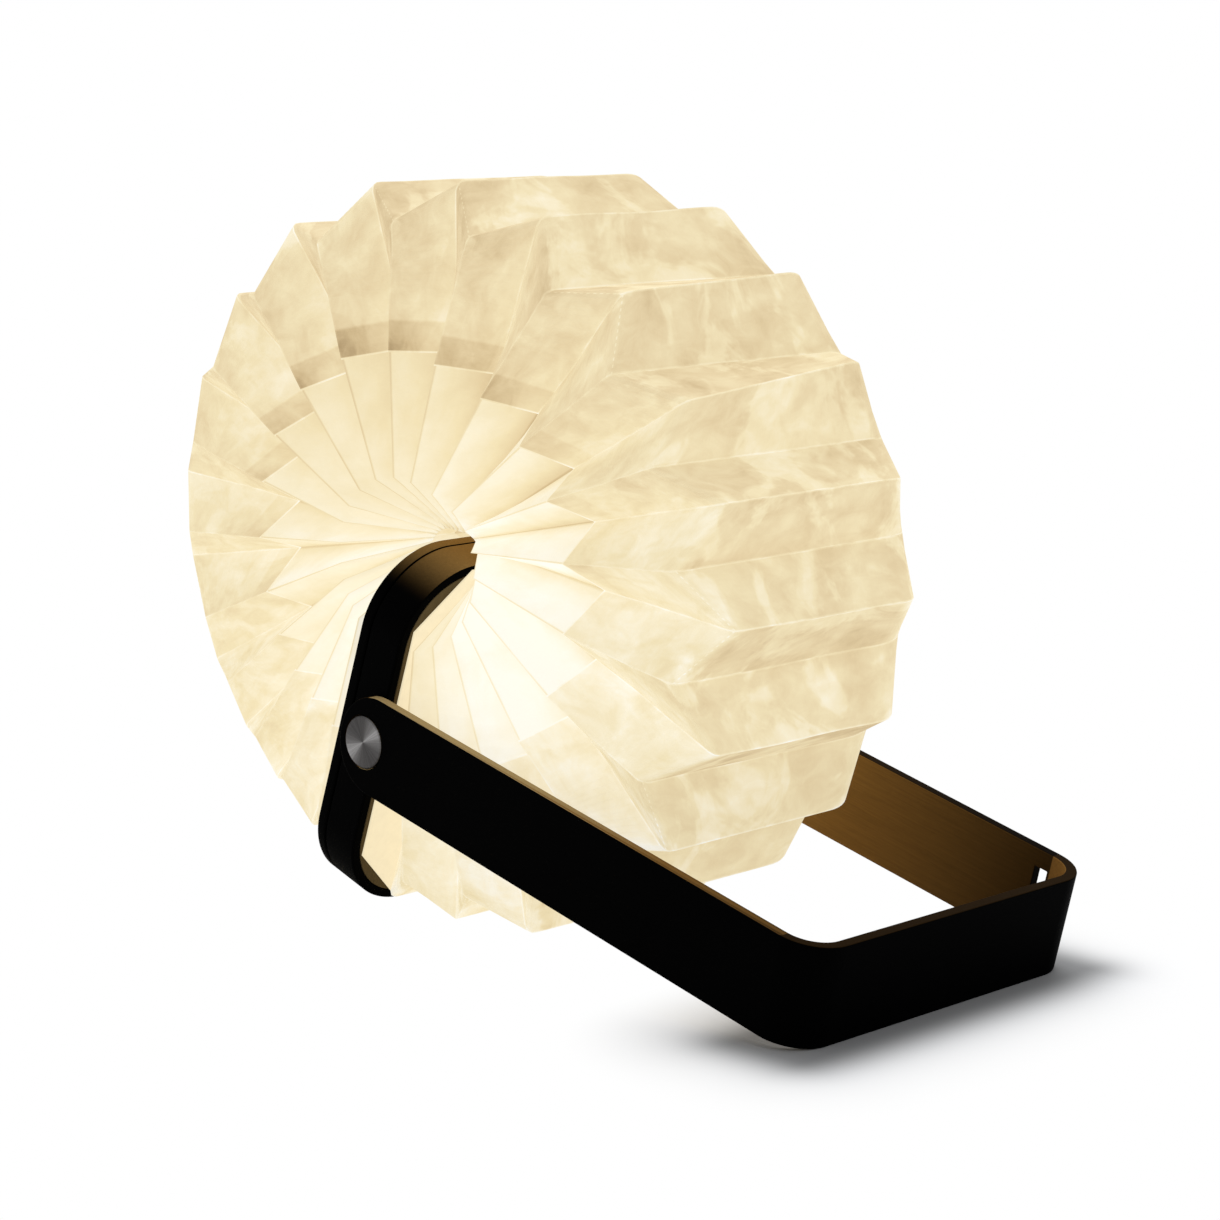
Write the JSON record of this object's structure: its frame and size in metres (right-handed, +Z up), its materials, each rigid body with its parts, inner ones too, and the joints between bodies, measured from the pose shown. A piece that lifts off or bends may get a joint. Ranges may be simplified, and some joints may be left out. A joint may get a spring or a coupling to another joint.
{
  "type": "portable lamp",
  "caption": "Book-shaped lamp of pleated paper opened all the way round between two thin wooden covers, propped on a bent strip handle.",
  "frame": {"origin": "middle of the footprint at floor level, with the lamp standing on its handle and the front cover", "axes": "+X along the pivot axis towards the arm with the slot, +Y from the handle base towards the covers, +Z up"},
  "size_m": [0.1206, 0.2858, 0.2198],
  "materials": {
    "black_wood": "satin black-brown stain",
    "brown_wood": "thin board, satin",
    "brushed_steel": "turned rings on the caps",
    "magnet": "plated",
    "washer": "slippery plastic",
    "paper": "matte fibrous paper, lit from inside",
    "card": "matte",
    "battery": "foil sleeve",
    "board": "solder mask",
    "light_bar": "white board with light-emitting diodes",
    "diffuser": "milky",
    "lead": "insulation"
  },
  "bodies": {
    "front_cover": {"front_cover_tray": "black_wood", "front_cover_plate": "brown_wood", "plate_screw_1": "brushed_steel", "plate_screw_2": "brushed_steel", "plate_screw_3": "brushed_steel", "plate_screw_4": "brushed_steel", "pivot_cap_near": "brushed_steel", "pivot_cap_far": "brushed_steel", "pivot_washer_near": "washer", "pivot_washer_far": "washer", "pivot_bracket_near": "brushed_steel", "pivot_bracket_far": "brushed_steel", "front_magnet_near": "magnet", "front_magnet_far": "magnet", "battery_pack": "battery", "control_board": "board", "charge_socket": "brushed_steel", "battery_lead": "lead", "light_bar_lead": "lead", "light_bar": "light_bar", "light_diffuser": "diffuser", "front_paper_card": "card", "paper_pleat_01": "paper"},
    "paper_01": {"paper_pleat_02": "paper"},
    "paper_02": {"paper_pleat_03": "paper"},
    "paper_03": {"paper_pleat_04": "paper"},
    "paper_04": {"paper_pleat_05": "paper"},
    "paper_05": {"paper_pleat_06": "paper"},
    "paper_06": {"paper_pleat_07": "paper"},
    "paper_07": {"paper_pleat_08": "paper"},
    "paper_08": {"paper_pleat_09": "paper"},
    "paper_09": {"paper_pleat_10": "paper"},
    "paper_10": {"paper_pleat_11": "paper"},
    "paper_11": {"paper_pleat_12": "paper"},
    "paper_12": {"paper_pleat_13": "paper"},
    "paper_13": {"paper_pleat_14": "paper"},
    "paper_14": {"paper_pleat_15": "paper"},
    "paper_15": {"paper_pleat_16": "paper"},
    "paper_16": {"paper_pleat_17": "paper"},
    "paper_17": {"paper_pleat_18": "paper"},
    "paper_18": {"paper_pleat_19": "paper"},
    "paper_19": {"paper_pleat_20": "paper"},
    "paper_20": {"paper_pleat_21": "paper"},
    "paper_21": {"paper_pleat_22": "paper"},
    "back_cover": {"back_cover_tray": "black_wood", "back_cover_plate": "brown_wood", "back_magnet_near": "magnet", "back_magnet_far": "magnet", "back_paper_card": "card"},
    "handle": {"handle_strip": "black_wood"}
  },
  "joints": [
    {"name": "handle_turn", "type": "hinge", "parent": "front_cover", "child": "handle", "pos_m": [0, 0.03482, 0.05561], "axis": [1, 0, 0], "continuous": true},
    {"name": "book_close_01", "type": "hinge", "parent": "front_cover", "child": "paper_01", "pos_m": [0, 0.02474, 0.10371], "axis": [1, 0, 0], "range_deg": [0, 16.09], "deforming": ["paper_pleat_01"]},
    {"name": "book_close_02", "type": "hinge", "parent": "paper_01", "child": "paper_02", "pos_m": [0, 0.02101, 0.10403], "axis": [1, 0, 0], "range_deg": [0, 16.26], "deforming": ["paper_pleat_02"]},
    {"name": "book_close_03", "type": "hinge", "parent": "paper_02", "child": "paper_03", "pos_m": [0, 0.01855, 0.1056], "axis": [1, 0, 0], "range_deg": [0, 16.59], "deforming": ["paper_pleat_03"]},
    {"name": "book_close_04", "type": "hinge", "parent": "paper_03", "child": "paper_04", "pos_m": [0, 0.01786, 0.10723], "axis": [1, 0, 0], "range_deg": [0, 17.04], "deforming": ["paper_pleat_04"]},
    {"name": "book_close_05", "type": "hinge", "parent": "paper_04", "child": "paper_05", "pos_m": [0, 0.01833, 0.10783], "axis": [1, 0, 0], "range_deg": [0, 17.57], "deforming": ["paper_pleat_05"]},
    {"name": "book_close_06", "type": "hinge", "parent": "paper_05", "child": "paper_06", "pos_m": [0, 0.01868, 0.10729], "axis": [1, 0, 0], "range_deg": [0, 18.13], "deforming": ["paper_pleat_06"]},
    {"name": "book_close_07", "type": "hinge", "parent": "paper_06", "child": "paper_07", "pos_m": [0, 0.01803, 0.1068], "axis": [1, 0, 0], "range_deg": [0, 18.65], "deforming": ["paper_pleat_07"]},
    {"name": "book_close_08", "type": "hinge", "parent": "paper_07", "child": "paper_08", "pos_m": [0, 0.01694, 0.1079], "axis": [1, 0, 0], "range_deg": [0, 19.07], "deforming": ["paper_pleat_08"]},
    {"name": "book_close_09", "type": "hinge", "parent": "paper_08", "child": "paper_09", "pos_m": [0, 0.01717, 0.11099], "axis": [1, 0, 0], "range_deg": [0, 19.35], "deforming": ["paper_pleat_09"]},
    {"name": "book_close_10", "type": "hinge", "parent": "paper_09", "child": "paper_10", "pos_m": [0, 0.02009, 0.11451], "axis": [1, 0, 0], "range_deg": [0, 19.44], "deforming": ["paper_pleat_10"]},
    {"name": "book_close_11", "type": "hinge", "parent": "paper_10", "child": "paper_11", "pos_m": [0, 0.025, 0.11621], "axis": [1, 0, 0], "range_deg": [0, 19.31], "deforming": ["paper_pleat_11"]},
    {"name": "book_close_12", "type": "hinge", "parent": "paper_11", "child": "paper_12", "pos_m": [0, 0.02957, 0.11523], "axis": [1, 0, 0], "range_deg": [0, 18.95], "deforming": ["paper_pleat_12"]},
    {"name": "book_close_13", "type": "hinge", "parent": "paper_12", "child": "paper_13", "pos_m": [0, 0.03184, 0.11287], "axis": [1, 0, 0], "range_deg": [0, 18.38], "deforming": ["paper_pleat_13"]},
    {"name": "book_close_14", "type": "hinge", "parent": "paper_13", "child": "paper_14", "pos_m": [0, 0.03179, 0.11112], "axis": [1, 0, 0], "range_deg": [0, 17.61], "deforming": ["paper_pleat_14"]},
    {"name": "book_close_15", "type": "hinge", "parent": "paper_14", "child": "paper_15", "pos_m": [0, 0.03094, 0.11094], "axis": [1, 0, 0], "range_deg": [0, 16.68], "deforming": ["paper_pleat_15"]},
    {"name": "book_close_16", "type": "hinge", "parent": "paper_15", "child": "paper_16", "pos_m": [0, 0.03071, 0.11171], "axis": [1, 0, 0], "range_deg": [0, 15.66], "deforming": ["paper_pleat_16"]},
    {"name": "book_close_17", "type": "hinge", "parent": "paper_16", "child": "paper_17", "pos_m": [0, 0.03148, 0.11219], "axis": [1, 0, 0], "range_deg": [0, 14.6], "deforming": ["paper_pleat_17"]},
    {"name": "book_close_18", "type": "hinge", "parent": "paper_17", "child": "paper_18", "pos_m": [0, 0.03267, 0.11152], "axis": [1, 0, 0], "range_deg": [0, 13.58], "deforming": ["paper_pleat_18"]},
    {"name": "book_close_19", "type": "hinge", "parent": "paper_18", "child": "paper_19", "pos_m": [0, 0.03343, 0.10962], "axis": [1, 0, 0], "range_deg": [0, 12.66], "deforming": ["paper_pleat_19"]},
    {"name": "book_close_20", "type": "hinge", "parent": "paper_19", "child": "paper_20", "pos_m": [0, 0.03317, 0.10697], "axis": [1, 0, 0], "range_deg": [0, 11.91], "deforming": ["paper_pleat_20"]},
    {"name": "book_close_21", "type": "hinge", "parent": "paper_20", "child": "paper_21", "pos_m": [0, 0.0317, 0.10426], "axis": [1, 0, 0], "range_deg": [0, 11.38], "deforming": ["paper_pleat_21"]},
    {"name": "book_close_22", "type": "hinge", "parent": "paper_21", "child": "back_cover", "pos_m": [0, 0.02918, 0.1021], "axis": [1, 0, 0], "range_deg": [0, 11.11], "deforming": ["paper_pleat_22"]}
  ],
  "couplings": [
    {"joint": "book_close_02", "follows": "book_close_01", "ratio": 1.0108},
    {"joint": "book_close_03", "follows": "book_close_01", "ratio": 1.0313},
    {"joint": "book_close_04", "follows": "book_close_01", "ratio": 1.0595},
    {"joint": "book_close_05", "follows": "book_close_01", "ratio": 1.0926},
    {"joint": "book_close_06", "follows": "book_close_01", "ratio": 1.1271},
    {"joint": "book_close_07", "follows": "book_close_01", "ratio": 1.1593},
    {"joint": "book_close_08", "follows": "book_close_01", "ratio": 1.1857},
    {"joint": "book_close_09", "follows": "book_close_01", "ratio": 1.203},
    {"joint": "book_close_10", "follows": "book_close_01", "ratio": 1.2085},
    {"joint": "book_close_11", "follows": "book_close_01", "ratio": 1.2006},
    {"joint": "book_close_12", "follows": "book_close_01", "ratio": 1.1784},
    {"joint": "book_close_13", "follows": "book_close_01", "ratio": 1.1425},
    {"joint": "book_close_14", "follows": "book_close_01", "ratio": 1.0945},
    {"joint": "book_close_15", "follows": "book_close_01", "ratio": 1.037},
    {"joint": "book_close_16", "follows": "book_close_01", "ratio": 0.97333},
    {"joint": "book_close_17", "follows": "book_close_01", "ratio": 0.9076},
    {"joint": "book_close_18", "follows": "book_close_01", "ratio": 0.8441},
    {"joint": "book_close_19", "follows": "book_close_01", "ratio": 0.7871},
    {"joint": "book_close_20", "follows": "book_close_01", "ratio": 0.74049},
    {"joint": "book_close_21", "follows": "book_close_01", "ratio": 0.70749},
    {"joint": "book_close_22", "follows": "book_close_01", "ratio": 0.6904}
  ]
}
